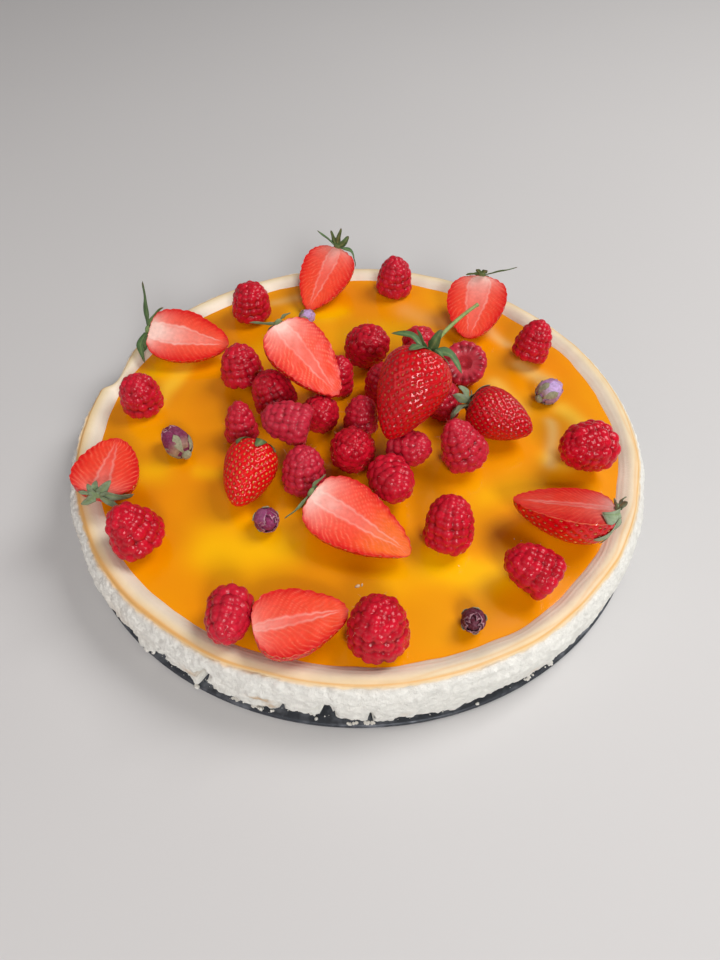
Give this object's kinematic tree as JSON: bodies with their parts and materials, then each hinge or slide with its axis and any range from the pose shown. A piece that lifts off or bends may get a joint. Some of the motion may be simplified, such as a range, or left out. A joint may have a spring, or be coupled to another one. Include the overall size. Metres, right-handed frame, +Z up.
{
  "type": "baked cheesecake",
  "caption": "Round baked cheesecake on its springform base, topped with fruit glaze, whole and halved berries and dried rosebuds.",
  "frame": {"origin": "middle of the underside of the tin base, on the surface the cake stands on", "axes": "+Z up through the cake's middle, -Y towards the front of the pictured view, +X to its right"},
  "size_m": [0.2458, 0.2457, 0.0739],
  "materials": {
    "tin_grey": "satin non-stick coating, dark slate grey",
    "cheesecake_cream": "baked cream cheese: smooth cream rim with a golden line, white crumbly torn side",
    "mango_orange": "glossy set fruit glaze, orange with soft yellow swirls",
    "raspberry_red": "fresh raspberry, satin with fine pale hairs",
    "strawberry_red": "fresh strawberry, glossy skin with seeds, moist pale cut faces",
    "leaf_green": "dull green leaf",
    "petal_purple": "dry papery petals, purple with pale edges"
  },
  "bodies": {
    "root": {"tin_base": "tin_grey", "cheesecake_body": "cheesecake_cream", "mango_glaze": "mango_orange", "raspberry_01": "raspberry_red", "raspberry_02": "raspberry_red", "raspberry_03": "raspberry_red", "raspberry_04": "raspberry_red", "raspberry_05": "raspberry_red", "raspberry_06": "raspberry_red", "raspberry_07": "raspberry_red", "raspberry_08": "raspberry_red", "raspberry_09": "raspberry_red", "raspberry_10": "raspberry_red", "raspberry_11": "raspberry_red", "raspberry_12": "raspberry_red", "raspberry_13": "raspberry_red", "raspberry_14": "raspberry_red", "raspberry_15": "raspberry_red", "raspberry_16": "raspberry_red", "raspberry_17": "raspberry_red", "raspberry_18": "raspberry_red", "raspberry_19": "raspberry_red", "raspberry_20": "raspberry_red", "raspberry_21": "raspberry_red", "raspberry_22": "raspberry_red", "raspberry_23": "raspberry_red", "raspberry_24": "raspberry_red", "raspberry_25": "raspberry_red", "raspberry_26": "raspberry_red", "raspberry_27": "raspberry_red", "raspberry_28": "raspberry_red", "strawberry_half_1": "strawberry_red", "strawberry_half_2": "strawberry_red", "strawberry_half_3": "strawberry_red", "strawberry_half_4": "strawberry_red", "strawberry_half_5": "strawberry_red", "strawberry_half_6": "strawberry_red", "strawberry_half_7": "strawberry_red", "strawberry_half_8": "strawberry_red", "strawberry_whole_1": "strawberry_red", "strawberry_whole_2": "strawberry_red", "strawberry_whole_3": "strawberry_red", "calyx_01": "leaf_green", "calyx_02": "leaf_green", "calyx_03": "leaf_green", "calyx_04": "leaf_green", "calyx_05": "leaf_green", "calyx_06": "leaf_green", "calyx_07": "leaf_green", "calyx_08": "leaf_green", "calyx_09": "leaf_green", "calyx_10": "leaf_green", "rosebud_1": "petal_purple", "rosebud_2": "petal_purple", "rosebud_3": "petal_purple", "rosebud_4": "petal_purple", "rosebud_5": "petal_purple"}
  },
  "joints": []
}
